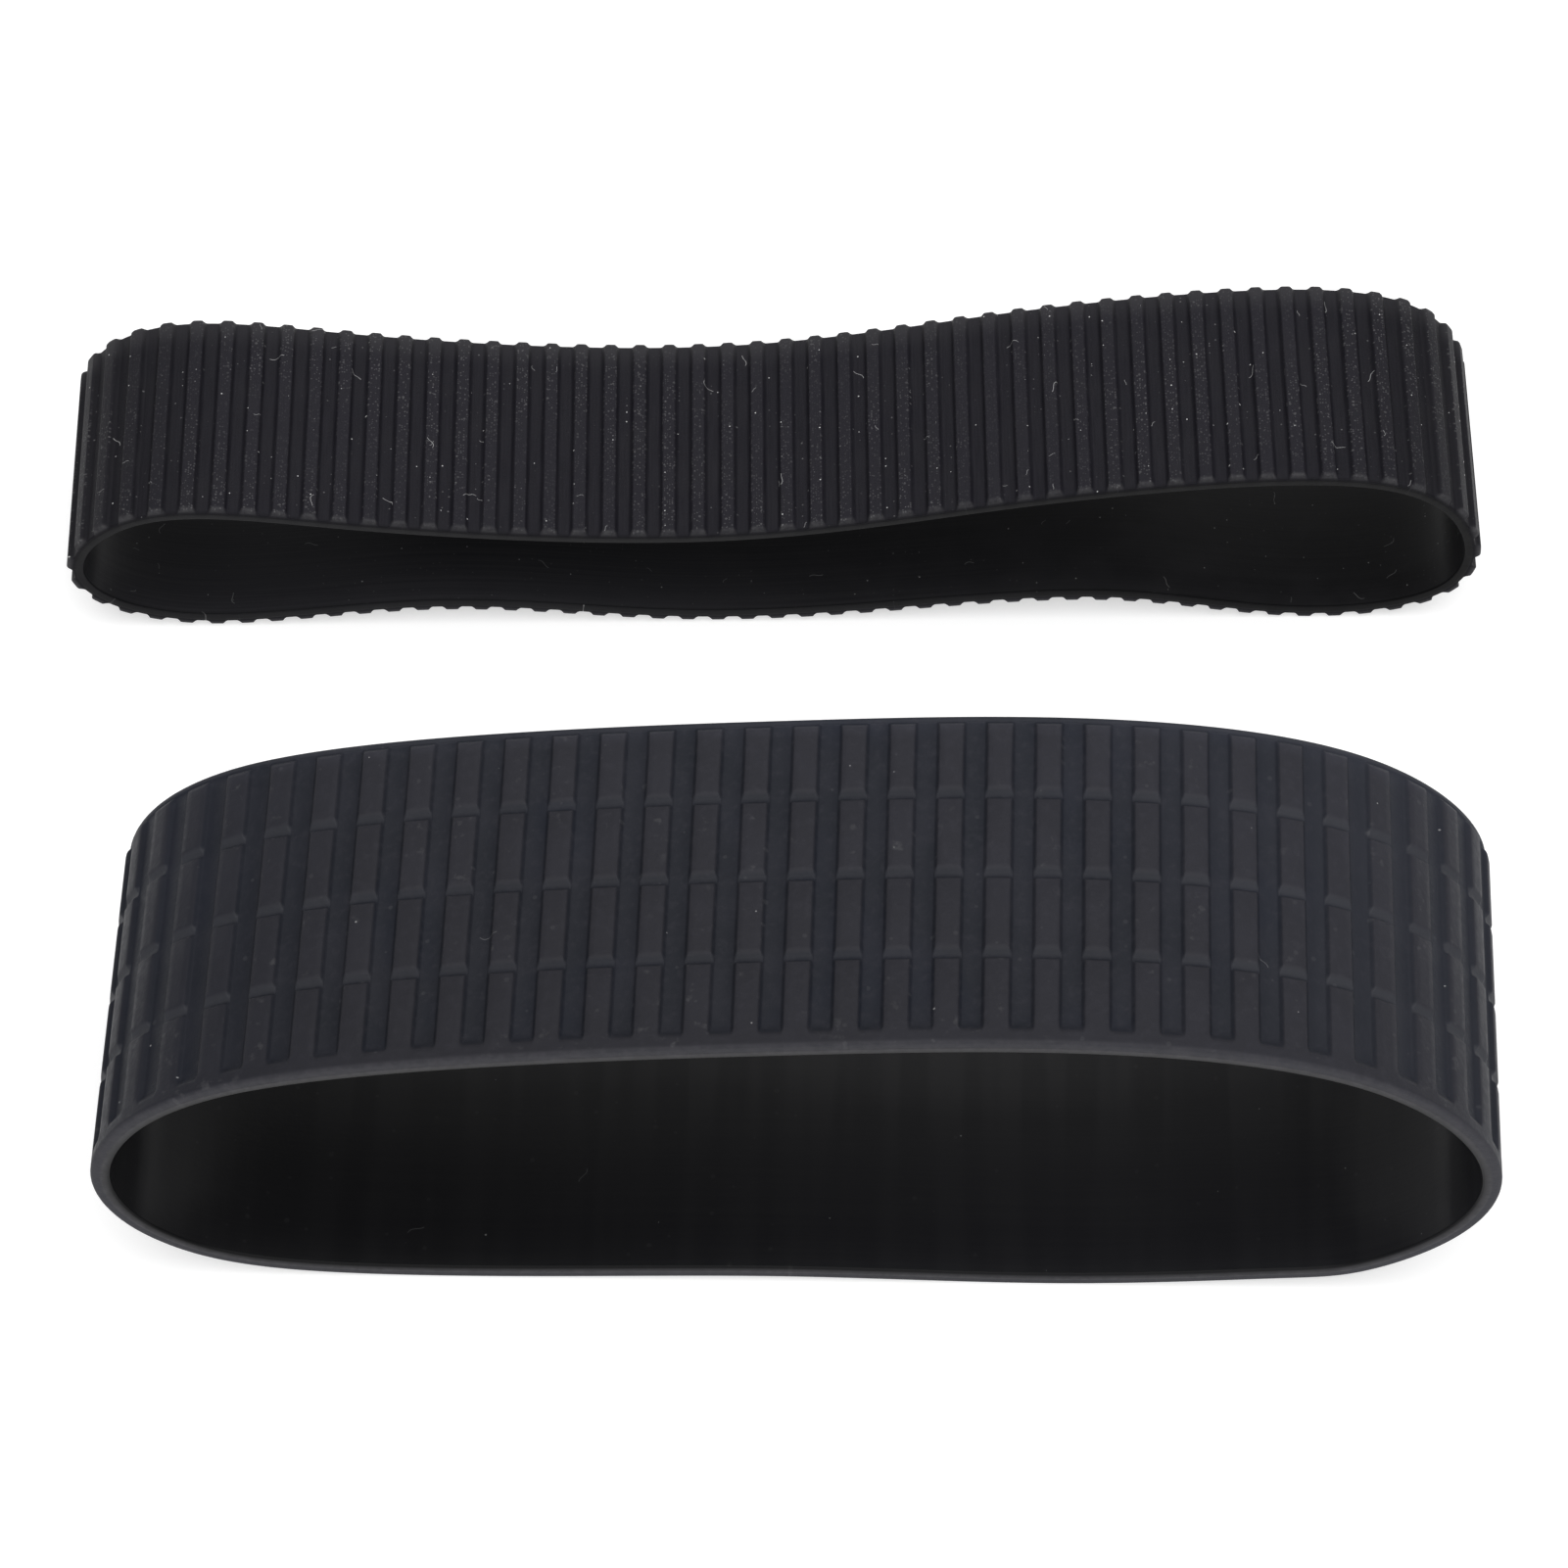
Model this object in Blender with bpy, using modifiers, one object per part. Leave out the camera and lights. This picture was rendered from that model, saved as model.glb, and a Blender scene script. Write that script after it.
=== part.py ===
"""A pair of ribbed rubber grip rings for a zoom lens, lying on their sides on a table.

The narrow ring is the focus grip and the wide ring is the zoom grip. Each is one soft
moulded band, so it sags into a flat loop when it is off the lens. Metres, +Z up, and
the near rims face -Y.
"""

import math

import bpy
import bmesh
from mathutils import Vector

MM = 0.001

# Focus grip: straight ribs that run the full width, so both rims are toothed.
FOCUS_WIDTH = 20.4 * MM
FOCUS_RIBS = 100
FOCUS_WALL = 0.9 * MM
FOCUS_RIB_HEIGHT = 0.5 * MM
FOCUS_RIB_TOP = 1.08 * MM
FOCUS_RIB_SLOPE = 0.16 * MM
FOCUS_NEAR_CHAMFER = 0.18 * MM
FOCUS_FAR_CHAMFER = 0.12 * MM

# Zoom grip: ribs that grow out of a plain collar at the near rim and round off before a
# thin lip at the far rim. Three cuts divide each rib into four blocks.
ZOOM_WIDTH = 30.2 * MM
ZOOM_RIBS = 65
ZOOM_WALL = 1.1 * MM
ZOOM_RIB_HEIGHT = 0.45 * MM
ZOOM_RIB_TOP = 1.72 * MM
ZOOM_RIB_SLOPE = 0.2 * MM
ZOOM_COLLAR = 1.25 * MM
ZOOM_POCKET_RAMP = 0.25 * MM
ZOOM_FIRST_CUT = 7.5 * MM
ZOOM_CUT_SPACING = 7.35 * MM
ZOOM_CUT_DEPTH = 0.3 * MM
ZOOM_CUT_NEAR_RUN = 0.2 * MM
ZOOM_CUT_FLOOR = 0.25 * MM
ZOOM_CUT_FAR_RUN = 0.45 * MM
ZOOM_LIP = 0.4 * MM
ZOOM_LIP_HEIGHT = 0.15 * MM
ZOOM_LIP_RAMP = 0.1 * MM
ZOOM_RIB_END_RUN = 0.45 * MM

# How the two rings lie: the clear distance between them and each one's small turn.
GAP_BETWEEN_RINGS = 34.9 * MM
FOCUS_TURN = math.radians(0.57)
ZOOM_TURN = math.radians(-0.85)

# Middle line of each wall as it lies, in mm: control points of a closed cubic spline,
# clockwise from the left end. The focus grip sags at its waist and touches the table
# at three places; the zoom grip stands as a low arch on a flat base.
FOCUS_OUTLINE = (
    (-62.25, 6.5), (-54.25, 16.75), (-38.0, 13.5), (-21.5, 11.5), (-4.25, 11.0),
    (10.75, 13.75), (23.5, 16.75), (48.75, 19.75), (57.5, 13.75), (58.25, 2.25),
    (42.25, -0.25), (28.0, 4.75), (6.25, 1.5), (-10.5, 0.5), (-29.5, 4.25), (-51.0, -1.0),
)
ZOOM_OUTLINE = (
    (-52.5, 10.0), (-53.0, 17.5), (-45.0, 27.5), (-19.5, 31.5), (0.0, 33.0), (23.0, 34.5),
    (45.0, 31.0), (55.5, 18.5), (53.0, 8.5), (44.5, 2.5), (40.0, 2.5), (22.0, 0.5),
    (0.5, 2.0), (-18.0, 1.0), (-40.0, 1.0), (-48.0, 4.5),
)
OUTLINE_STEPS = 24
SEAM_WELD = 0.02 * MM


def clear_scene():
    for obj in list(bpy.data.objects):
        bpy.data.objects.remove(obj, do_unlink=True)


def new_collection(name, hidden=False):
    collection = bpy.data.collections.new(name)
    collection.hide_render = hidden
    bpy.context.scene.collection.children.link(collection)
    return collection


def rubber(name, colour, roughness):
    material = bpy.data.materials.new(name)
    material.use_nodes = True
    shader = material.node_tree.nodes["Principled BSDF"]
    shader.inputs["Base Color"].default_value = (*colour, 1.0)
    shader.inputs["Roughness"].default_value = roughness
    shader.inputs["Metallic"].default_value = 0.0
    material.diffuse_color = (*colour, 1.0)
    return material


def closed_outline(name, points_mm, collection):
    """The closed guide curve that a band is bent along."""
    curve = bpy.data.curves.new(name, "CURVE")
    curve.dimensions = "2D"
    curve.resolution_u = OUTLINE_STEPS
    # The band is stretched to the exact length of the loop, so its ends meet.
    curve.use_stretch = True
    curve.use_deform_bounds = True
    spline = curve.splines.new("NURBS")
    spline.points.add(len(points_mm) - 1)
    for point, (x, y) in zip(spline.points, points_mm):
        point.co = (x * MM, y * MM, 0.0, 1.0)
    spline.order_u = 4
    spline.use_cyclic_u = True
    guide = bpy.data.objects.new(name, curve)
    guide.hide_render = True
    guide.display_type = "WIRE"
    collection.objects.link(guide)
    return guide


def height_at(profile, distance):
    """Height above the wall at a distance from the near rim, on a profile of straight runs."""
    for (start, low), (end, high) in zip(profile, profile[1:]):
        if distance <= end:
            share = (distance - start) / (end - start)
            return low + (high - low) * share
    return profile[-1][1]


def faces_between(faces, low, high):
    return [face for face in faces if low < face.calc_center_median().x < high]


def cut_across(bm, faces, origin, direction):
    """Splits only these faces by a plane, and leaves the rest of the block whole."""
    edges = {edge for face in faces for edge in face.edges}
    verts = {vert for face in faces for vert in face.verts}
    geometry = [*faces, *edges, *verts]
    bmesh.ops.bisect_plane(
        bm, geom=geometry, dist=1e-7, plane_co=origin, plane_no=direction
    )


def outer_faces(bm, wall):
    return [face for face in bm.faces if abs(face.calc_center_median().y - wall) < 1e-6]


def rib_tile(pitch, width, wall, rib_top, rib_slope, rib_height, crest, valley):
    """One pitch of a band, laid flat: X along the band, +Y outwards, the near rim at Z = 0.

    It starts as a block. Its outer face is divided at the rib's edges and at the
    corners of the two profiles, and then raised to them. The ends stay open, because
    the next tile joins there.
    """
    bm = bmesh.new()
    bmesh.ops.create_cube(bm, size=1.0)
    bmesh.ops.scale(bm, vec=(pitch, wall, width), verts=bm.verts)
    bmesh.ops.translate(bm, vec=(pitch / 2, wall / 2, -width / 2), verts=bm.verts)
    ends = [face for face in bm.faces if abs(face.normal.x) > 0.5]
    bmesh.ops.delete(bm, geom=ends, context="FACES")

    middle = pitch / 2
    half_top = rib_top / 2
    half_foot = half_top + rib_slope
    for x in (middle - half_foot, middle - half_top, middle + half_top, middle + half_foot):
        cut_across(bm, outer_faces(bm, wall), (x, 0.0, 0.0), (1.0, 0.0, 0.0))
    for distance, _ in valley[1:-1]:
        cut_across(bm, outer_faces(bm, wall), (0.0, 0.0, -distance), (0.0, 0.0, 1.0))
    for distance, _ in crest[1:-1]:
        top = faces_between(outer_faces(bm, wall), middle - half_top, middle + half_top)
        cut_across(bm, top, (0.0, 0.0, -distance), (0.0, 0.0, 1.0))

    for vert in bm.verts:
        if abs(vert.co.y - wall) > 1e-6:
            continue
        across = vert.co.x - middle
        distance = -vert.co.z
        if abs(abs(across) - half_top) < 1e-6:
            rise = height_at(crest, distance)
            # Each rib narrows as it rises, so a lower crest is a wider one.
            spread = rib_slope * (1.0 - rise / rib_height)
            vert.co.x += math.copysign(spread, across)
        else:
            rise = height_at(valley, distance)
        vert.co.y += rise
    return bm


def loop_length(spline):
    return spline.calc_length(resolution=OUTLINE_STEPS)


def grip_ring(name, outline, ribs, profiles, size, material, turn, parts, guides):
    """A band of equal tiles, bent round its outline and stood on its lower side."""
    guide = closed_outline(name + "_outline", outline, guides)
    pitch = loop_length(guide.data.splines[0]) / ribs
    bm = rib_tile(pitch, *size, *profiles)
    bmesh.ops.translate(bm, vec=(0.0, -size[1] / 2, 0.0), verts=bm.verts)
    bmesh.ops.recalc_face_normals(bm, faces=bm.faces)
    mesh = bpy.data.meshes.new(name)
    bm.to_mesh(mesh)
    bm.free()
    mesh.materials.append(material)
    ring = bpy.data.objects.new(name, mesh)
    parts.objects.link(ring)

    repeat = ring.modifiers.new("ribs", "ARRAY")
    repeat.count = ribs
    repeat.use_relative_offset = False
    repeat.use_constant_offset = True
    repeat.constant_offset_displace = (pitch, 0.0, 0.0)
    repeat.use_merge_vertices = True
    repeat.merge_threshold = SEAM_WELD
    bend = ring.modifiers.new("bend", "CURVE")
    bend.object = guide
    bend.deform_axis = "POS_X"
    seam = ring.modifiers.new("seam", "WELD")
    seam.merge_threshold = SEAM_WELD

    ring.rotation_euler = (math.radians(90), 0.0, turn)
    guide.parent = ring
    return ring


def bounds(objects):
    """Lowest and highest corner of the finished shapes."""
    bpy.context.view_layer.update()
    graph = bpy.context.evaluated_depsgraph_get()
    corners = []
    for obj in objects:
        shape = obj.evaluated_get(graph)
        mesh = shape.to_mesh()
        corners += [shape.matrix_world @ vert.co for vert in mesh.vertices]
        shape.to_mesh_clear()
    low = Vector([min(corner[axis] for corner in corners) for axis in range(3)])
    high = Vector([max(corner[axis] for corner in corners) for axis in range(3)])
    return low, high


def focus_profiles():
    """(crest, valley) of the focus grip, as (distance from the near rim, height)."""
    width = FOCUS_WIDTH
    top = FOCUS_RIB_HEIGHT
    crest = [
        (0.0, top - FOCUS_NEAR_CHAMFER), (FOCUS_NEAR_CHAMFER, top),
        (width - FOCUS_FAR_CHAMFER, top), (width, top - FOCUS_FAR_CHAMFER),
    ]
    valley = [(0.0, 0.0), (width, 0.0)]
    return crest, valley


def zoom_profiles():
    """(crest, valley) of the zoom grip, from the collar at the near rim to the far lip."""
    width = ZOOM_WIDTH
    top = ZOOM_RIB_HEIGHT
    lip = width - ZOOM_LIP
    crest = [(0.0, top)]
    for index in range(3):
        start = ZOOM_FIRST_CUT + index * ZOOM_CUT_SPACING
        floor = start + ZOOM_CUT_NEAR_RUN
        floor_end = floor + ZOOM_CUT_FLOOR
        crest += [
            (start, top), (floor, top - ZOOM_CUT_DEPTH),
            (floor_end, top - ZOOM_CUT_DEPTH), (floor_end + ZOOM_CUT_FAR_RUN, top),
        ]
    crest += [(lip - ZOOM_RIB_END_RUN, top), (lip, ZOOM_LIP_HEIGHT), (width, ZOOM_LIP_HEIGHT)]
    valley = [
        (0.0, top), (ZOOM_COLLAR, top), (ZOOM_COLLAR + ZOOM_POCKET_RAMP, 0.0),
        (lip - ZOOM_LIP_RAMP, 0.0), (lip, ZOOM_LIP_HEIGHT), (width, ZOOM_LIP_HEIGHT),
    ]
    return crest, valley


def main():
    clear_scene()
    parts = new_collection("lens_grip_rings")
    guides = new_collection("lens_grip_rings_guides", hidden=True)

    focus_rubber = rubber("focus_grip_rubber", (0.020, 0.020, 0.022), 0.72)
    zoom_rubber = rubber("zoom_grip_rubber", (0.030, 0.030, 0.032), 0.66)

    focus_rib = (FOCUS_RIB_TOP, FOCUS_RIB_SLOPE, FOCUS_RIB_HEIGHT)
    zoom_rib = (ZOOM_RIB_TOP, ZOOM_RIB_SLOPE, ZOOM_RIB_HEIGHT)
    focus = grip_ring(
        "focus_grip_ring", FOCUS_OUTLINE, FOCUS_RIBS, (*focus_rib, *focus_profiles()),
        (FOCUS_WIDTH, FOCUS_WALL), focus_rubber, FOCUS_TURN, parts, guides,
    )
    zoom = grip_ring(
        "zoom_grip_ring", ZOOM_OUTLINE, ZOOM_RIBS, (*zoom_rib, *zoom_profiles()),
        (ZOOM_WIDTH, ZOOM_WALL), zoom_rubber, ZOOM_TURN, parts, guides,
    )

    focus.location.y = ZOOM_WIDTH + GAP_BETWEEN_RINGS
    # Each ring rests on its own lowest ribs, and the pair is centred on the origin.
    for ring in (focus, zoom):
        ring.location.z = -bounds([ring])[0].z
    low, high = bounds([focus, zoom])
    for ring in (focus, zoom):
        ring.location.x -= (low.x + high.x) / 2
        ring.location.y -= (low.y + high.y) / 2


main()
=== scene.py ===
"""Looks of a pair of ribbed rubber lens grip rings, lying on their sides on a pale floor."""

import math

import bpy
import numpy as np
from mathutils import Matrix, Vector


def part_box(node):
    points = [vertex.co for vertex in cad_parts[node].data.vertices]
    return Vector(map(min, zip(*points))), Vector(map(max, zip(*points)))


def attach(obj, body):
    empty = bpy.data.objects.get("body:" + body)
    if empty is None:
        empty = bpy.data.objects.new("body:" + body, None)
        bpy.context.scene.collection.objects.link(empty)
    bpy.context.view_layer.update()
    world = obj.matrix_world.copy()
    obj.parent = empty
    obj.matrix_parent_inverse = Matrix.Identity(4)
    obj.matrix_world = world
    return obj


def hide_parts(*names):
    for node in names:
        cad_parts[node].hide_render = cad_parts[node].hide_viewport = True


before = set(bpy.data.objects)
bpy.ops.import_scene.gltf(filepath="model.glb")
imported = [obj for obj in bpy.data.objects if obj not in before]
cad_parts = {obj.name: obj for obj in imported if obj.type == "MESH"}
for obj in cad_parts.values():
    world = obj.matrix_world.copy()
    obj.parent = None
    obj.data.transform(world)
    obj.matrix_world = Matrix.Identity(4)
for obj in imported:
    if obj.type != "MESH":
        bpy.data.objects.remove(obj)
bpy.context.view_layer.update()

MM = 0.001

# ---------------------------------------------------------------- driving dimensions (mm)

# Middle line of each wall: control points of a closed cubic spline, clockwise from the
# left end, the same line that the CAD bands follow.
FOCUS_OUTLINE = (
    (-62.25, 6.5), (-54.25, 16.75), (-38.0, 13.5), (-21.5, 11.5), (-4.25, 11.0),
    (10.75, 13.75), (23.5, 16.75), (48.75, 19.75), (57.5, 13.75), (58.25, 2.25),
    (42.25, -0.25), (28.0, 4.75), (6.25, 1.5), (-10.5, 0.5), (-29.5, 4.25), (-51.0, -1.0),
)
ZOOM_OUTLINE = (
    (-52.5, 10.0), (-53.0, 17.5), (-45.0, 27.5), (-19.5, 31.5), (0.0, 33.0), (23.0, 34.5),
    (45.0, 31.0), (55.5, 18.5), (53.0, 8.5), (44.5, 2.5), (40.0, 2.5), (22.0, 0.5),
    (0.5, 2.0), (-18.0, 1.0), (-40.0, 1.0), (-48.0, 4.5),
)


class Focus:
    """The narrow ring: straight ribs from rim to rim, on filleted feet."""

    width = 20.4
    wall = 0.9
    ribs = 100
    phase = 0.32  # from the loop's left end to the first rib, in rib pitches
    turn = math.radians(0.57)  # of the whole ring, about the vertical
    lean = 0.003  # sideways drift of the loop for each mm of width
    rise = 0.5  # of the ribs above the wall
    half_top = 0.49  # half the width of a rib's top
    side_run = 0.38  # from the top's edge to the rib's foot
    fillet_power = 1.7  # how hollow the side is: 1 is a straight slope
    shoulder_dip = 0.06  # share of the rise that is rounded off at the top's edge
    side_steps = (-0.3, -0.12, 0.0, 0.12, 0.3, 0.5, 0.75, 1.0, 1.2)  # mesh lines, in side runs
    top_round = 0.05
    end_narrowing = 0.12  # of half_top, at the far rim
    end_lowering = 0.18  # share of the rise lost there
    end_run = 0.3
    end_softness = 0.08
    rim_round = 0.12  # near rim, between the ribs
    crest_round = 0.26  # near rim, at the ribs' ends
    far_round = 0.1
    inner_round = 0.1


class Zoom:
    """The wide ring: ribs in four blocks between a plain collar and a thin lip."""

    width = 30.2
    wall = 1.1
    ribs = 65
    phase = 0.344
    turn = math.radians(-0.85)
    lean = 0.0175
    rise = 0.45
    half_top = 0.85
    side_run = 0.32
    side_steps = (-0.1, 0.1, 0.3, 0.5, 0.7, 0.9, 1.15)
    block_corner = 4  # how square the blocks' corners are
    core_corner = 2  # the same for the low core that joins a rib's blocks
    collar = 1.05  # plain run at the near rim, as high as the ribs
    collar_ramp = 0.8  # its slope down to the valleys
    collar_softness = 0.1
    collar_squareness = 2.2  # of its inner corner with the ribs
    cuts = 3
    first_cut = 7.5  # where the first block's top ends
    cut_spacing = 7.35
    cut_near_run = 0.26  # slope down into a cut
    cut_floor = 0.38
    cut_far_run = 0.52  # slope up out of it
    cut_depth = 0.32
    lip = 0.4  # plain run at the far rim
    lip_height = 0.15
    lip_ramp = 0.12
    lip_softness = 0.04
    lip_squareness = 4.0
    end_run = 0.62  # slope at the last block's far end
    rim_round = 0.32
    crest_round = 0.32
    far_round = 0.12
    inner_round = 0.2


# ---------------------------------------------------------------- the line of a band


class Loop:
    """A closed uniform cubic B-spline, read by the distance along it."""

    STEPS = 200

    def __init__(self, points):
        self.points = np.array(points, float)
        self.count = len(points)
        share = np.arange(self.count * self.STEPS + 1) / self.STEPS
        line = self.at_share(share)[0]
        steps = np.hypot(*np.diff(line, axis=0).T)
        self.share = share
        self.reach = np.concatenate([[0.0], np.cumsum(steps)])
        self.length = self.reach[-1]
        self.left_end = self.reach[int(line[:, 0].argmin())]

    def at_share(self, share):
        """Positions and unit outward normals at spline parameters."""
        first = np.floor(share).astype(int)
        t = (share - first)[:, None]
        near = [self.points[(first + offset) % self.count] for offset in (-1, 0, 1, 2)]
        weights = (
            (1 - t) ** 3, 3 * t**3 - 6 * t**2 + 4, -3 * t**3 + 3 * t**2 + 3 * t + 1, t**3,
        )
        slopes = (
            -3 * (1 - t) ** 2, 9 * t**2 - 12 * t, -9 * t**2 + 6 * t + 3, 3 * t**2,
        )
        place = sum(w * p for w, p in zip(weights, near)) / 6
        travel = sum(w * p for w, p in zip(slopes, near))
        travel /= np.hypot(travel[:, 0], travel[:, 1])[:, None]
        return place, np.stack([-travel[:, 1], travel[:, 0]], axis=1)

    def at(self, distance):
        return self.at_share(np.interp(np.mod(distance, self.length), self.reach, self.share))


# ---------------------------------------------------------------- height of the ribs

BLOCK_SOFTNESS = 0.3

# A block's near end that lies before the near rim, so that the block runs out at the rim.
OPEN_END = (-2.0, 1.0)


def soft_step(x, start, end, softness):
    """1 before start and 0 after end, straight between, with its two corners rounded."""

    def area(value):
        clipped = np.clip(value, start, end)
        middle = (clipped - start) - (clipped - start) ** 2 / (2 * (end - start))
        return np.minimum(value, start) + middle

    return (area(x + softness) - area(x - softness)) / (2 * softness)


def joined(a, b, squareness):
    """The higher of two heights, with the corner between them filled."""
    return (a**squareness + b**squareness) ** (1.0 / squareness)


def block(across, along, half_top, side_run, near, far, corner):
    """A rib block, from 0 at its foot to 1 on its top.

    near and far are (place of the top's edge, run of the slope outside it), and corner
    says how square the slopes' corners are: 2 is round and 8 is nearly mitred.
    """
    off_side = (np.abs(across) - half_top) / side_run
    off_end = max((near[0] - along) / near[1], (along - far[0]) / far[1])
    outside = np.maximum(off_side, 0.0) ** corner + max(off_end, 0.0) ** corner
    inside = np.maximum(off_side, off_end)
    reach = np.where(outside > 0, outside ** (1.0 / corner), inside)
    return soft_step(reach, 0.0, 1.0, BLOCK_SOFTNESS)


def focus_height(across, along):
    """Height of the focus ribs: filleted feet, and an end that sinks at the far rim."""
    ring = Focus
    nearness = soft_step(ring.width - along, 0.0, ring.end_run, ring.end_softness)
    half_top = ring.half_top - ring.end_narrowing * nearness
    side = np.clip((np.abs(across) - half_top) / ring.side_run, -1.0, 1.0)
    fillet = (1.0 - np.maximum(side, 0.0)) ** ring.fillet_power
    softness = ring.top_round / ring.side_run
    shoulder = np.clip((side + softness) / (2 * softness), 0.0, 1.0)
    lowered = 1.0 - ring.end_lowering * nearness
    dip = ring.shoulder_dip * np.sin(math.pi * shoulder) ** 2
    return ring.rise * lowered * (fillet - dip)


def zoom_height(across, along):
    """Height of the zoom ribs: four blocks on a low core, with the collar and the lip."""
    ring = Zoom
    collar_end = ring.collar + ring.collar_ramp
    collar = ring.rise * soft_step(along, ring.collar, collar_end, ring.collar_softness)
    lip_start = ring.width - ring.lip
    lip_foot = lip_start - ring.lip_ramp
    lip = ring.lip_height * soft_step(-along, -lip_start, -lip_foot, ring.lip_softness)

    far_end = (lip_start - ring.end_run, ring.end_run)
    core_height = ring.rise - ring.cut_depth
    core_share = core_height / ring.rise
    height = core_height * block(
        across, along, ring.half_top + ring.side_run * (1 - core_share),
        ring.side_run * core_share, OPEN_END, far_end, ring.core_corner,
    )
    near_slope = ring.cut_far_run / ring.cut_depth * ring.rise
    far_slope = ring.cut_near_run / ring.cut_depth * ring.rise
    start = OPEN_END
    for index in range(ring.cuts + 1):
        cut = ring.first_cut + index * ring.cut_spacing
        end = (cut, far_slope) if index < ring.cuts else far_end
        one = block(
            across, along, ring.half_top, ring.side_run, start, end, ring.block_corner,
        )
        height = np.maximum(height, ring.rise * one)
        start = (cut + ring.cut_near_run + ring.cut_floor + ring.cut_far_run, near_slope)
    height = joined(np.maximum(height, 0.0), np.maximum(collar, 0.0), ring.collar_squareness)
    height = joined(height, np.maximum(lip, 0.0), ring.lip_squareness)
    return np.minimum(height, ring.rise)


# ---------------------------------------------------------------- where the mesh has lines

# A line of the mesh on a rib's top, as a share of the top's half width.
TOP_LINE = 0.45


def across_places(ring, pitch):
    """Offsets from a rib's middle where the band is divided, closest at the rib's edges."""
    edge = ring.half_top
    run = ring.side_run
    half = [edge * TOP_LINE, *(edge + run * step for step in ring.side_steps)]
    return np.array([*[-x for x in reversed(half)], *half, pitch / 2])


def graded(start, end, count):
    """Evenly spaced places from start up to, but not at, end."""
    return list(np.linspace(start, end, count, endpoint=False))


def focus_rows():
    """Places along a focus rib, closest where its far end sinks."""
    ring = Focus
    end = ring.width - 1.0
    near_rim = [0.3, 0.6]
    middle = graded(1.5, end, 8)
    far_end = graded(end, ring.width - ring.far_round, 7)
    return near_rim + middle + far_end


def zoom_rows():
    """Places along a zoom rib, closest at the collar, the cuts and the lip."""
    ring = Zoom
    rows = [0.45, 0.85]
    rows += graded(ring.collar - 0.1, ring.collar + ring.collar_ramp + 0.12, 6)
    rows += [2.2, 4.2]
    for index in range(ring.cuts):
        cut = ring.first_cut + index * ring.cut_spacing
        floor = cut + ring.cut_near_run + 0.04
        top = cut + ring.cut_near_run + ring.cut_floor + ring.cut_far_run + 0.2
        rows += graded(cut - 0.1, floor, 4)
        rows += graded(floor, top, 8)
        rows += [top, top + 3.2]
    lip = ring.width - ring.lip
    lip_foot = lip - ring.lip_ramp - 0.06
    rows += graded(lip - ring.end_run - 0.25, lip_foot, 6)
    rows += graded(lip_foot, lip + 0.05, 4)
    rows.append(lip + 0.15)
    return sorted(rows)


# ---------------------------------------------------------------- the bands

CREST_STEPS = 5
CORNER_STEPS = 3
INSIDE_STEPS = 6


def quarter(steps):
    """Angles of a quarter turn, in equal steps."""
    return np.linspace(0.0, math.pi / 2, steps + 1)


def section(ring, rows, height):
    """One closed cross-section for every column: (along, offset from the middle line).

    It runs along the outside from the near rim, over the far rim, back along the inside
    and up the near rim's face. height(along) gives the ribs' height for all columns.
    """
    half = ring.wall / 2
    columns = height(0.0).shape[0]
    near_top = half + height(0.0)
    far_top = half + height(ring.width)
    line = []

    def add(along, offset):
        line.append((along + np.zeros(columns), offset + np.zeros(columns)))

    crest_share = height(0.0) / ring.rise
    round_near = ring.rim_round + (ring.crest_round - ring.rim_round) * crest_share
    for angle in quarter(CREST_STEPS)[::-1]:
        add(round_near * (1 - math.sin(angle)), near_top - round_near * (1 - math.cos(angle)))
    for along in rows:
        add(along, half + height(along))
    round_far = ring.far_round
    for angle in quarter(CORNER_STEPS):
        add(
            ring.width - round_far * (1 - math.sin(angle)),
            far_top - round_far * (1 - math.cos(angle)),
        )
    round_inner = ring.inner_round
    for angle in quarter(CORNER_STEPS)[::-1]:
        add(
            ring.width - round_inner * (1 - math.sin(angle)),
            -half + round_inner * (1 - math.cos(angle)),
        )
    for along in np.linspace(ring.width, 0.0, INSIDE_STEPS + 1)[1:-1]:
        add(along, -half)
    for angle in quarter(CORNER_STEPS):
        add(
            round_inner * (1 - math.sin(angle)),
            -half + round_inner * (1 - math.cos(angle)),
        )
    along = np.stack([pair[0] for pair in line], axis=1)
    offset = np.stack([pair[1] for pair in line], axis=1)
    return along, offset


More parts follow.
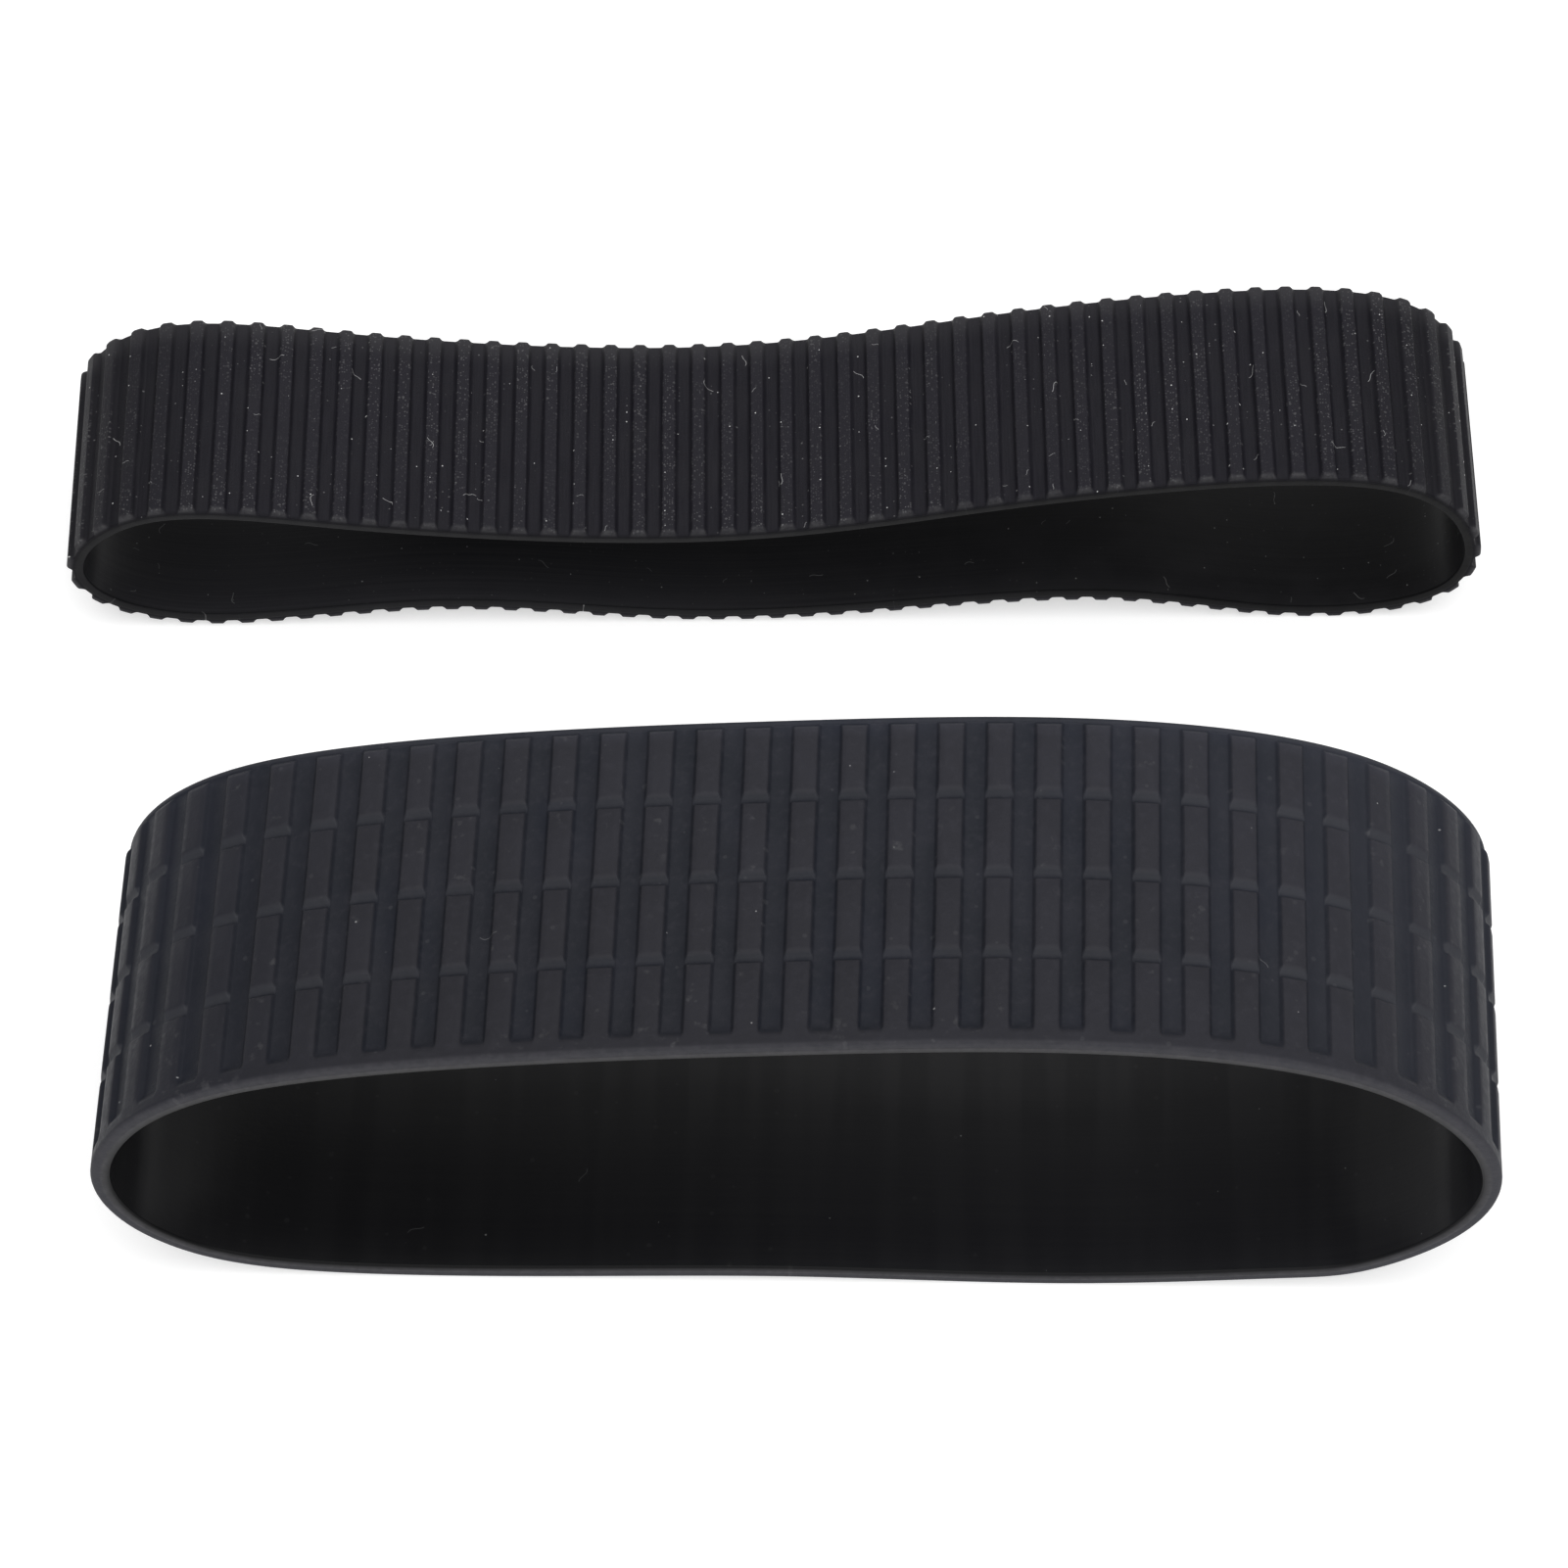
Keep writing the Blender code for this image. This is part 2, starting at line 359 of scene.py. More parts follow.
def band(name, ring, loop, rows, height_of, material):
    """A ribbed band as one closed mesh, with its own coordinates kept on its corners."""
    pitch = loop.length / ring.ribs
    places = across_places(ring, pitch)
    across = np.tile(places, ring.ribs)
    middles = (np.arange(ring.ribs) + ring.phase) * pitch
    distance = np.repeat(middles, len(places)) + across

    along, offset = section(ring, rows, lambda value: height_of(across, value))
    columns, lines = along.shape
    place, normal = loop.at(loop.left_end + distance)
    x = place[:, :1] + normal[:, :1] * offset
    z = place[:, 1:] + normal[:, 1:] * offset
    turned_x = x * math.cos(ring.turn) - along * math.sin(ring.turn)
    turned_y = x * math.sin(ring.turn) + along * math.cos(ring.turn)
    points = np.stack([turned_x, turned_y, z], axis=2)

    low, high = (np.array(corner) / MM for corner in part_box(name))
    shift = np.array([
        (low[0] + high[0]) / 2 - (turned_x.min() + turned_x.max()) / 2,
        low[1] - turned_y.min(),
        low[2] - z.min(),
    ])
    points += shift
    points[:, :, 0] += ring.lean * along

    row = np.arange(columns)[:, None] * lines
    step = np.arange(lines)[None, :]
    next_row = np.roll(row, -1, axis=0)
    next_step = np.roll(step, -1, axis=1)
    faces = np.stack([row + step, row + next_step, next_row + next_step, next_row + step], axis=2)
    mesh = bpy.data.meshes.new(name + "_band")
    mesh.from_pydata((points.reshape(-1, 3) * MM).tolist(), [], faces.reshape(-1, 4).tolist())

    # Corner coordinates: distance round the band, distance from the near rim, and height
    # above the outer face. The last column meets the first one at the loop's full length.
    around = distance - distance[0]
    after = np.append(around[1:], loop.length)
    around = np.broadcast_to(around[:, None], (columns, lines))
    after = np.broadcast_to(after[:, None], (columns, lines))
    above = offset - ring.wall / 2
    turned = (np.roll(along, -1, axis=1), np.roll(above, -1, axis=1))
    next_along, next_above = np.roll(along, -1, axis=0), np.roll(above, -1, axis=0)
    next_turned = (np.roll(next_along, -1, axis=1), np.roll(next_above, -1, axis=1))
    corners = np.stack([
        np.stack([around, along, above], axis=2),
        np.stack([around, *turned], axis=2),
        np.stack([after, *next_turned], axis=2),
        np.stack([after, next_along, next_above], axis=2),
    ], axis=2)
    layer = mesh.attributes.new("band", "FLOAT_VECTOR", "CORNER")
    layer.data.foreach_set("vector", corners.astype(np.float32).ravel())

    mesh.shade_smooth()
    mesh.materials.append(material)
    piece = bpy.data.objects.new(name + "_rubber", mesh)
    bpy.context.scene.collection.objects.link(piece)
    return piece


# ---------------------------------------------------------------- rubber

RELIEF_DEPTH = 0.03 * MM


def tone(value, red=1.0, green=1.0, blue=1.0):
    """A linear colour of this lightness, with a cast."""
    return (value * red, value * green, value * blue, 1.0)


class FocusSkin:
    """Colours of the focus rubber, and the specular level of its parts."""

    top = tone(0.0122, 1.0, 0.94, 1.31)
    # valley: own tone of the valleys and rib sides, darker than top partly as painted shade in the
    # recesses.
    valley = tone(0.0082, 1.0, 0.94, 1.37)
    streak = tone(0.0183, 1.0, 0.95, 1.24)
    haze = tone(0.01708, 1.0, 0.97, 1.1)
    inside_dark = tone(0.0068, 1.0, 1.0, 1.22)
    inside_pale = tone(0.01105, 1.0, 1.0, 1.14)
    # rim: painted shade on the near rim's face.
    rim = tone(0.0015, 1.0, 1.0, 1.1)
    # fold: painted shade at both ends of the ring.
    fold = tone(0.001)
    # painted highlight on the far edge and the near rib ends.
    pale_painted_light = tone(0.045, 1.0, 0.98, 1.05)
    bloom = tone(0.30)
    dust = tone(0.62)
    sheen = 0.14
    sheen_inside = 0.28
    sheen_rim = 0.07


class ZoomSkin:
    """Colours of the zoom rubber, and the specular level of its parts."""

    top = tone(0.0158, 1.0, 0.99, 1.24)
    # valley: own bluish tone of the valleys and rib sides, darker than top partly as painted
    # shade.
    valley = tone(0.0114, 0.93, 1.02, 1.38)
    blue_patch = tone(0.0114, 0.85, 1.02, 1.65)
    # pale_valley: painted light on the valleys towards the right.
    pale_valley = tone(0.01659, 0.95, 1.02, 1.35)
    haze = tone(0.02054, 1.0, 1.0, 1.30)
    mottle = tone(0.02686, 1.0, 0.98, 1.2)
    # fold: painted shade at both ends of the ring, with a bluer tint.
    fold = tone(0.007, 0.7, 0.95, 1.9)
    # painted highlight in the cuts, and the paler far lip.
    cut_glint_and_lip_tone = tone(0.052, 0.98, 1.0, 1.12)
    inside_dark = tone(0.004576, 1.0, 1.0, 1.2)
    inside_pale = tone(0.005824, 1.0, 1.0, 1.12)
    # stripe: painted reflection deep inside.
    stripe = tone(0.01352, 1.0, 1.0, 1.04)
    # corner: painted shade on the near rim's inner corner.
    corner = tone(0.002)
    # painted light on the near rim's face.
    pale_painted_light = tone(0.046, 1.0, 0.97, 1.10)
    smear = tone(0.20)
    dust = tone(0.5)
    sheen = 0.14
    sheen_inside = 0.26
    sheen_rim = 0.12
    sheen_corner = 0.08


class Nodes:
    """Short names for the shader nodes that the materials use."""

    def __init__(self, name):
        self.material = bpy.data.materials.new(name)
        self.material.use_nodes = True
        self.tree = self.material.node_tree
        self.shader = self.tree.nodes["Principled BSDF"]

    # -- numbers and vectors

    def link(self, source, target):
        self.tree.links.new(source, target)

    def fill(self, socket, value):
        """Gives a socket another node's output, or a plain value."""
        if hasattr(value, "is_output"):
            self.link(value, socket)
        else:
            socket.default_value = value

    def math(self, operation, a, b=0.0, c=0.0):
        node = self.tree.nodes.new("ShaderNodeMath")
        node.operation = operation
        for socket, value in zip(node.inputs, (a, b, c)):
            self.fill(socket, value)
        return node.outputs[0]

    def product(self, first, *others):
        for other in others:
            first = self.math("MULTIPLY", first, other)
        return first

    def total(self, first, *others):
        for other in others:
            first = self.math("ADD", first, other)
        return first

    def highest(self, first, *others):
        for other in others:
            first = self.math("MAXIMUM", first, other)
        return first

    def ramp(self, value, low, high, start=0.0, end=1.0):
        """Smoothly from start where value is low to end where it is high."""
        node = self.tree.nodes.new("ShaderNodeMapRange")
        node.interpolation_type = "SMOOTHSTEP"
        for socket, number in zip(node.inputs, (value, low, high, start, end)):
            self.fill(socket, number)
        return node.outputs[0]

    def vector(self, operation, first, second):
        node = self.tree.nodes.new("ShaderNodeVectorMath")
        node.operation = operation
        self.link(first, node.inputs[0])
        self.fill(node.inputs[1], second)
        return node.outputs[0]

    def scaled(self, vector, scale):
        return self.vector("MULTIPLY", vector, scale)

    def mix(self, share, first, second):
        """The colour first, with this share of the colour second."""
        node = self.tree.nodes.new("ShaderNodeMix")
        node.data_type = "RGBA"
        self.fill(node.inputs["Factor"], share)
        self.fill(node.inputs["A"], first)
        self.fill(node.inputs["B"], second)
        return node.outputs["Result"]

    def mix_value(self, share, first, second):
        """The number first, with this share of the number second."""
        node = self.tree.nodes.new("ShaderNodeMix")
        node.data_type = "FLOAT"
        self.fill(node.inputs["Factor"], share)
        self.fill(node.inputs["A"], first)
        self.fill(node.inputs["B"], second)
        return node.outputs["Result"]

    # -- places on the piece

    def band(self):
        """The band's own place, then its distance from the near rim and its height (mm)."""
        node = self.tree.nodes.new("ShaderNodeAttribute")
        node.attribute_name = "band"
        split = self.tree.nodes.new("ShaderNodeSeparateXYZ")
        self.link(node.outputs["Vector"], split.inputs[0])
        return node.outputs["Vector"], split.outputs[1], split.outputs[2]

    def object_place(self):
        return self.tree.nodes.new("ShaderNodeTexCoord").outputs["Object"]

    def sideways(self, place):
        """Distance to the right of the object's middle (m)."""
        split = self.tree.nodes.new("ShaderNodeSeparateXYZ")
        self.link(place, split.inputs[0])
        return split.outputs[0]

    # -- patterns

    def noise(self, place, scale, detail=3.0, roughness=0.5):
        node = self.tree.nodes.new("ShaderNodeTexNoise")
        self.link(place, node.inputs["Vector"])
        node.inputs["Scale"].default_value = scale
        node.inputs["Detail"].default_value = detail
        node.inputs["Roughness"].default_value = roughness
        return node.outputs["Fac"]

    def band_noise(self, band_place, round_scale, along_scale, detail, roughness):
        """Noise over the flat band, scaled apart round the band and along its ribs."""
        stretched = self.scaled(band_place, (round_scale, along_scale, 0.0))
        return self.noise(stretched, 1.0, detail, roughness)

    def cells(self, band_place, size, offset):
        """Voronoi cells over the flat band: place within a cell in mm, and three numbers."""
        node = self.tree.nodes.new("ShaderNodeTexVoronoi")
        node.voronoi_dimensions = "2D"
        node.inputs["Scale"].default_value = 1.0
        scaled = self.scaled(band_place, (1.0 / size, 1.0 / size, 0.0))
        moved = self.vector("ADD", scaled, (offset, offset, 0.0))
        self.link(moved, node.inputs["Vector"])
        away = self.vector("SUBTRACT", moved, node.outputs["Position"])
        chance = self.tree.nodes.new("ShaderNodeSeparateColor")
        self.link(node.outputs["Color"], chance.inputs[0])
        place = self.tree.nodes.new("ShaderNodeSeparateXYZ")
        self.link(self.scaled(away, (size, size, 0.0)), place.inputs[0])
        return place.outputs[0], place.outputs[1], chance.outputs

    def specks(self, band_place, cell, radius, share, offset=0.0):
        """Round specks, at most one in each cell, in this share of the cells."""
        x, y, chance = self.cells(band_place, cell, offset)
        away = self.math("SQRT", self.total(self.product(x, x), self.product(y, y)))
        reach = self.math("MULTIPLY_ADD", chance[1], radius, radius * 0.5)
        spot = self.ramp(self.math("DIVIDE", away, reach), 1.1, 0.6)
        return self.product(spot, self.math("LESS_THAN", chance[0], share))

    def fibres(self, band_place, cell, length, width, share, offset=0.0):
        """Short bent hairs lying on the surface, at most one in each cell."""
        most_bend = 1.8 / length
        wave_turns = 5.0 / length
        wave_height = 0.09 * length
        x, y, chance = self.cells(band_place, cell, offset)
        angle = self.product(chance[1], math.pi)
        cosine, sine = self.math("COSINE", angle), self.math("SINE", angle)
        forward = self.total(self.product(x, cosine), self.product(y, sine))
        aside = self.math("SUBTRACT", self.product(y, cosine), self.product(x, sine))
        bend = self.product(self.math("SUBTRACT", chance[2], 0.5), most_bend)
        curve = self.product(bend, self.product(forward, forward))
        wave = self.product(self.math("SINE", self.product(forward, wave_turns)), wave_height)
        off_line = self.math("SUBTRACT", aside, self.total(curve, wave))
        thread = self.ramp(self.math("ABSOLUTE", off_line), width, width * 0.4)
        half = length / 2
        inside = self.ramp(self.math("ABSOLUTE", forward), half, half - width)
        return self.product(thread, inside, self.math("LESS_THAN", chance[0], share))

    # -- the shader's own inputs

    def mirror(self, level, share):
        """Specular level, times a share that is 1 on the outer face.

        The level is a plain factor of the last node, which is what the export can keep.
        """
        self.link(self.product(share, level), self.shader.inputs["Specular IOR Level"])

    def relief(self, coarse, coarse_share, fine, outside):
        """Bump from two patterns, a quarter as deep on the inner face."""
        height = self.math("MULTIPLY_ADD", coarse, coarse_share, fine)
        height = self.product(height, self.ramp(outside, 0.0, 1.0, 0.25, 1.0))
        node = self.tree.nodes.new("ShaderNodeBump")
        node.inputs["Distance"].default_value = RELIEF_DEPTH
        self.link(height, node.inputs["Height"])
        self.link(node.outputs["Normal"], self.shader.inputs["Normal"])


# In the materials below, along and above are the band's own distances in mm: from the near
# rim, and above the outer face. Places and noise scales are in metres and per metre.


def focus_inside(nodes, band_place, across):
    """Colour of the inner face: fine lines round it, with painted light paler towards the left and
    painted shade darker towards the right.
    """
    lines = nodes.band_noise(band_place, 0.03, 5.0, detail=4.0, roughness=0.7)
    inner = nodes.mix(
        nodes.ramp(lines, 0.35, 0.65), FocusSkin.inside_dark, FocusSkin.inside_pale,
    )
    # Painted light and painted shade: lit and shaded copies of the inner colour, pale on the left,
    # dark on the right.
    pale = nodes.scaled(inner, (1.45, 1.45, 1.45))
    dark = nodes.scaled(inner, (0.65, 0.65, 0.65))
    return nodes.mix(nodes.ramp(across, -0.03, 0.035), pale, dark)


def focus_highlights(nodes, place, along, above, outside):
    """Share of painted highlight: a paler far edge, and lighter rib ends at the near rim in uneven
    patches.
    """
    far_edge = nodes.product(
        nodes.ramp(along, Focus.width - 3.0, Focus.width, 0.0, 0.55),
        nodes.ramp(above, 0.0, 0.45, 0.45, 1.0),
        outside,
    )
    end_patches = nodes.noise(place, scale=1900.0, detail=5.0, roughness=0.7)
    near_end = nodes.product(
        nodes.ramp(along, 0.5, 0.1),
        nodes.ramp(above, 0.0, 0.35),
        nodes.ramp(end_patches, 0.35, 0.65, 0.25, 0.75),
    )
    return nodes.highest(far_edge, near_end)


def focus_bloom(nodes, band_place, place, top):
    """Share of pale bloom: fine grains in patches on the rib tops."""
    grains = nodes.highest(
        nodes.specks(band_place, cell=0.21, radius=0.06, share=0.3),
        nodes.specks(band_place, cell=0.37, radius=0.09, share=0.12, offset=4.4),
    )
    patches = nodes.noise(place, scale=70.0, detail=2.0)
    return nodes.product(grains, nodes.ramp(patches, 0.40, 0.62, 0.25, 1.0), top, 0.16)


def focus_dust(nodes, band_place, place, outside):
    """Share of white dust: faint specks in clumps, bright ones, and hairs of two sizes."""
    clumps = nodes.ramp(nodes.noise(place, scale=140.0, detail=2.0), 0.45, 0.6, 0.15, 1.0)
    faint = nodes.specks(band_place, cell=0.55, radius=0.06, share=0.10, offset=3.3)
    bright = nodes.specks(band_place, cell=1.1, radius=0.048, share=0.075, offset=7.7)
    hair = nodes.fibres(
        band_place, cell=3.3, length=1.2, width=0.034, share=0.07, offset=1.9,
    )
    small_hair = nodes.fibres(
        band_place, cell=2.1, length=0.6, width=0.028, share=0.05, offset=5.1,
    )
    white = nodes.highest(
        nodes.product(faint, clumps, 0.13), nodes.product(bright, 0.8),
        nodes.product(hair, 0.42), nodes.product(small_hair, 0.35),
    )
    return nodes.product(white, nodes.ramp(outside, 0.0, 1.0, 0.35, 1.0))


def focus_rubber():
    """Near-black violet rubber with moulding streaks, painted highlights at the far edge and the
    near rib ends, painted shade on the near rim and at both ends, painted light inside, bloom,
    dust and hairs.
    """
    nodes = Nodes("focus_rubber_moulded")
    band_place, along, above = nodes.band()
    place = nodes.object_place()
    across = nodes.sideways(place)
    outside = nodes.ramp(above, -0.35, -0.15)
    top = nodes.ramp(above, 0.25, 0.46)
    rim = nodes.product(nodes.ramp(along, 0.28, 0.1), nodes.ramp(above, 0.12, -0.1))
    fold = nodes.ramp(nodes.math("ABSOLUTE", across), 0.042, 0.058, 0.0, 0.3)
    streaks = nodes.band_noise(band_place, 6.0, 0.25, detail=4.0, roughness=0.6)
    haze = nodes.noise(place, scale=260.0, detail=4.0)

    # Valleys and rib sides take the darker valley colour: partly the rubber's own tone, partly
    # painted shade in the recesses.
    outer = nodes.mix(top, FocusSkin.valley, FocusSkin.top)
    outer = nodes.mix(nodes.ramp(streaks, 0.35, 0.7, 0.0, 0.42), outer, FocusSkin.streak)
    base = nodes.mix(outside, focus_inside(nodes, band_place, across), outer)
    base = nodes.mix(nodes.ramp(haze, 0.4, 0.7, 0.0, 0.2), base, FocusSkin.haze)
    # Painted shade: the near rim's face is darkened.
    base = nodes.mix(nodes.product(rim, 0.45), base, FocusSkin.rim)
    # Painted shade: both ends of the ring, where the band folds round, are darkened.
    base = nodes.mix(fold, base, FocusSkin.fold)
    pale_painted_light = focus_highlights(nodes, place, along, above, outside)
    # Painted highlights on the far edge and the near rib ends.
    base = nodes.mix(pale_painted_light, base, FocusSkin.pale_painted_light)
    base = nodes.mix(focus_bloom(nodes, band_place, place, top), base, FocusSkin.bloom)
    white = focus_dust(nodes, band_place, place, outside)
    base = nodes.mix(white, base, FocusSkin.dust)
    nodes.link(base, nodes.shader.inputs["Base Color"])

    rough = nodes.mix_value(outside, 0.40, nodes.ramp(streaks, 0.3, 0.7, 0.52, 0.66))
    nodes.link(nodes.highest(rough, white), nodes.shader.inputs["Roughness"])

    sheen = FocusSkin.sheen
    share = nodes.mix_value(outside, FocusSkin.sheen_inside / sheen, 1.0)
    share = nodes.mix_value(rim, share, FocusSkin.sheen_rim / sheen)
    nodes.mirror(sheen, share)

    grain = nodes.noise(place, scale=3200.0, detail=4.0, roughness=0.6)
    nodes.relief(streaks, 0.6, grain, outside)
    return nodes.material


def zoom_outside(nodes, place, along, top, mottle):
    """Colour of the outer face: bluish valleys, darker than the tops partly as painted shade,
    painted light paler far and right, and painted shade at the folds with a bluer tint.
    """
    sideways = nodes.sideways(place)
    valley = nodes.ramp(top, 1.0, 0.0)
    blue = nodes.noise(place, scale=95.0)
    haze = nodes.noise(place, scale=220.0, detail=4.0)
    # Valleys and rib sides take the darker valley colour: partly own tone, partly painted shade in
    # the recesses.
    outer = nodes.mix(top, ZoomSkin.valley, ZoomSkin.top)
    blue_share = nodes.product(nodes.ramp(blue, 0.5, 0.7, 0.0, 0.4), valley)
    outer = nodes.mix(blue_share, outer, ZoomSkin.blue_patch)
    outer = nodes.mix(nodes.ramp(haze, 0.35, 0.7, 0.0, 0.3), outer, ZoomSkin.haze)
    outer = nodes.mix(nodes.ramp(mottle, 0.45, 0.75, 0.0, 0.36), outer, ZoomSkin.mottle)
    # Painted light: valleys paler towards the right.
    pale_share = nodes.product(nodes.ramp(sideways, 0.02, 0.05, 0.0, 0.45), valley)
    outer = nodes.mix(pale_share, outer, ZoomSkin.pale_valley)

    # Painted light: paler towards the far rim, most on the rib tops at the far edge, and towards
    # the right.
    far_edge = nodes.product(
        nodes.ramp(along, Zoom.width - 2.2, Zoom.width), nodes.ramp(top, 0.0, 1.0, 0.3, 0.8),
    )
    lit_far_and_right = nodes.total(
        nodes.ramp(along, 2.0, Zoom.width, 0.0, 0.2),
        nodes.ramp(sideways, -0.045, 0.06, 0.0, 0.28),
        far_edge,
    )
    outer = nodes.mix(lit_far_and_right, outer, nodes.scaled(outer, (1.9, 1.95, 2.0)))
    # Painted shade at both ends of the ring, with a bluer tint.
    fold = nodes.total(
        nodes.ramp(sideways, -0.028, -0.052, 0.0, 0.4),
        nodes.ramp(sideways, 0.045, 0.058, 0.0, 0.25),
    )
    return nodes.mix(fold, outer, ZoomSkin.fold)


def zoom_cut_glint_and_lip(nodes, place, along, above):
    """Share of pale tone: a painted highlight on the lit far slope of each cut across the ribs,
    and a paler far lip, most at the folds.
    """
    spread = nodes.math("ABSOLUTE", nodes.sideways(place))
    # Painted highlight on the lit far slope and floor of each cut.
    middle = Zoom.first_cut + Zoom.cut_near_run + (Zoom.cut_floor + Zoom.cut_far_run) / 2
    from_first = nodes.math("SUBTRACT", along, middle)
    off_cut = nodes.math("PINGPONG", from_first, Zoom.cut_spacing / 2)
    cuts = nodes.product(
        nodes.ramp(off_cut, 0.55, 0.12),
        nodes.ramp(above, 0.06, 0.13),
        nodes.ramp(along, 4.0, 5.0),
        nodes.ramp(spread, 0.02, 0.052, 0.10, 0.38),
    )
    lip = nodes.product(
        nodes.ramp(along, Zoom.width - 0.5, Zoom.width - 0.2),
        nodes.ramp(spread, 0.02, 0.05, 0.1, 0.4),
    )
    return nodes.highest(cuts, lip)


def zoom_inside(nodes, band_place, place, along, panels):
    """Colour of the inner face: fine lines round it, a painted reflection as pale stripes deep
    inside, and painted light towards the right.
    """
    lines = nodes.band_noise(band_place, 0.04, 4.0, detail=4.0, roughness=0.7)
    inner = nodes.mix(
        nodes.ramp(lines, 0.3, 0.7), ZoomSkin.inside_dark, ZoomSkin.inside_pale,
    )
    # Painted reflection: pale stripes deep inside.
    deep = nodes.ramp(along, 9.0, 19.0, 0.15, 1.0)
    stripes = nodes.product(nodes.ramp(panels, 0.42, 0.62), deep, 0.5)
    inner = nodes.mix(stripes, inner, ZoomSkin.stripe)
    # Painted light: the inner face paler towards the right.
    rightness = nodes.ramp(nodes.sideways(place), -0.03, 0.03, 0.0, 0.4)
    return nodes.mix(rightness, inner, nodes.scaled(inner, (2.6, 2.6, 2.7)))


def zoom_smear(nodes, place, top):
    """Share of the pale smears on some rib tops."""
    smear = nodes.noise(place, scale=900.0, detail=3.0, roughness=0.6)
    patches = nodes.noise(place, scale=110.0, detail=2.0)
    return nodes.product(
        nodes.ramp(smear, 0.60, 0.74), nodes.ramp(patches, 0.42, 0.6), top, 0.10,
    )


def zoom_dust(nodes, band_place, outside):
    """Share of white dust: faint blots, a few bright specks and one or two hairs."""
    blot = nodes.specks(band_place, cell=1.6, radius=0.16, share=0.10, offset=2.7)
    bright = nodes.specks(band_place, cell=3.4, radius=0.06, share=0.06, offset=6.1)
    hair = nodes.fibres(
        band_place, cell=6.5, length=1.4, width=0.035, share=0.04, offset=8.3,
    )
    white = nodes.highest(
        nodes.product(blot, 0.022), nodes.product(bright, 0.4), nodes.product(hair, 0.16),
    )
    return nodes.product(white, nodes.ramp(outside, 0.0, 1.0, 0.5, 1.0))


def zoom_rubber():
    """Dark bluish rubber with painted highlights in its cuts, a paler far lip, painted light on
    the near rim and painted shade in its inner corner, and few specks.
    """
    nodes = Nodes("zoom_rubber_moulded")
    band_place, along, above = nodes.band()
    place = nodes.object_place()
    outside = nodes.ramp(above, -0.5, -0.2)
    top = nodes.ramp(above, 0.22, 0.42)
    panels = nodes.band_noise(band_place, 0.42, 0.02, detail=1.0, roughness=0.5)
    mottle = nodes.noise(place, scale=1400.0, detail=4.0, roughness=0.65)

    outer = zoom_outside(nodes, place, along, top, mottle)
    # Painted highlight in the cuts, and a paler far lip.
    outer = nodes.mix(zoom_cut_glint_and_lip(nodes, place, along, above), outer, ZoomSkin.cut_glint_and_lip_tone)
    inner = zoom_inside(nodes, band_place, place, along, panels)
    base = nodes.mix(outside, inner, outer)

    # The near rim is painted paler than the rest as painted light, varied by the mottle, and its
    # inner corner darker as painted shade.
    rim = nodes.ramp(along, 0.3, 0.0)
    corner = nodes.product(nodes.ramp(along, 0.25, 0.12), nodes.ramp(above, -0.8, -1.0))
    pale_painted_light = nodes.product(
        rim, nodes.ramp(above, -1.0, -0.45), nodes.ramp(mottle, 0.3, 0.7, 0.5, 1.0), 0.70,
    )
    base = nodes.mix(nodes.product(corner, 0.35), base, ZoomSkin.corner)
    base = nodes.mix(pale_painted_light, base, ZoomSkin.pale_painted_light)
    base = nodes.mix(zoom_smear(nodes, place, top), base, ZoomSkin.smear)
    base = nodes.mix(zoom_dust(nodes, band_place, outside), base, ZoomSkin.dust)
    nodes.link(base, nodes.shader.inputs["Base Color"])

    rough = nodes.mix_value(
        outside, nodes.ramp(panels, 0.3, 0.7, 0.30, 0.33), nodes.ramp(mottle, 0.3, 0.7, 0.5, 0.62),
    )
    nodes.link(rough, nodes.shader.inputs["Roughness"])

    sheen = ZoomSkin.sheen
    share = nodes.mix_value(outside, ZoomSkin.sheen_inside / sheen, 1.0)
    share = nodes.mix_value(rim, share, ZoomSkin.sheen_rim / sheen)
    share = nodes.mix_value(corner, share, ZoomSkin.sheen_corner / sheen)
    nodes.mirror(sheen, share)

    grain = nodes.noise(place, scale=2600.0, detail=4.0, roughness=0.6)
    nodes.relief(mottle, 0.8, grain, outside)
    return nodes.material


# ---------------------------------------------------------------- studio

CAMERA_TARGET = Vector((0.93 * MM, 5.52 * MM, 0.0))
CAMERA_DISTANCE = 521.56 * MM
CAMERA_ELEVATION = math.radians(54.391)
CAMERA_LENS = 143.95
SKY_STRENGTH = 0.45

# The floor is a translucent white sheet, lit a little from below.
FLOOR_HALF = 6.0
FLOOR_COLOUR = tone(0.60)
FLOOR_GLOW = 0.55


def add_camera():
    """The camera looks straight along the rings' axes and down at the floor."""
    data = bpy.data.cameras.new("camera")
    data.lens = CAMERA_LENS
    data.sensor_width = 36.0
    data.clip_start = 0.01
    camera = bpy.data.objects.new("camera", data)
    away = Vector((0.0, -math.cos(CAMERA_ELEVATION), math.sin(CAMERA_ELEVATION)))
    camera.location = CAMERA_TARGET + away * CAMERA_DISTANCE
    camera.rotation_euler = (math.pi / 2 - CAMERA_ELEVATION, 0.0, 0.0)
    bpy.context.scene.collection.objects.link(camera)
    bpy.context.scene.camera = camera


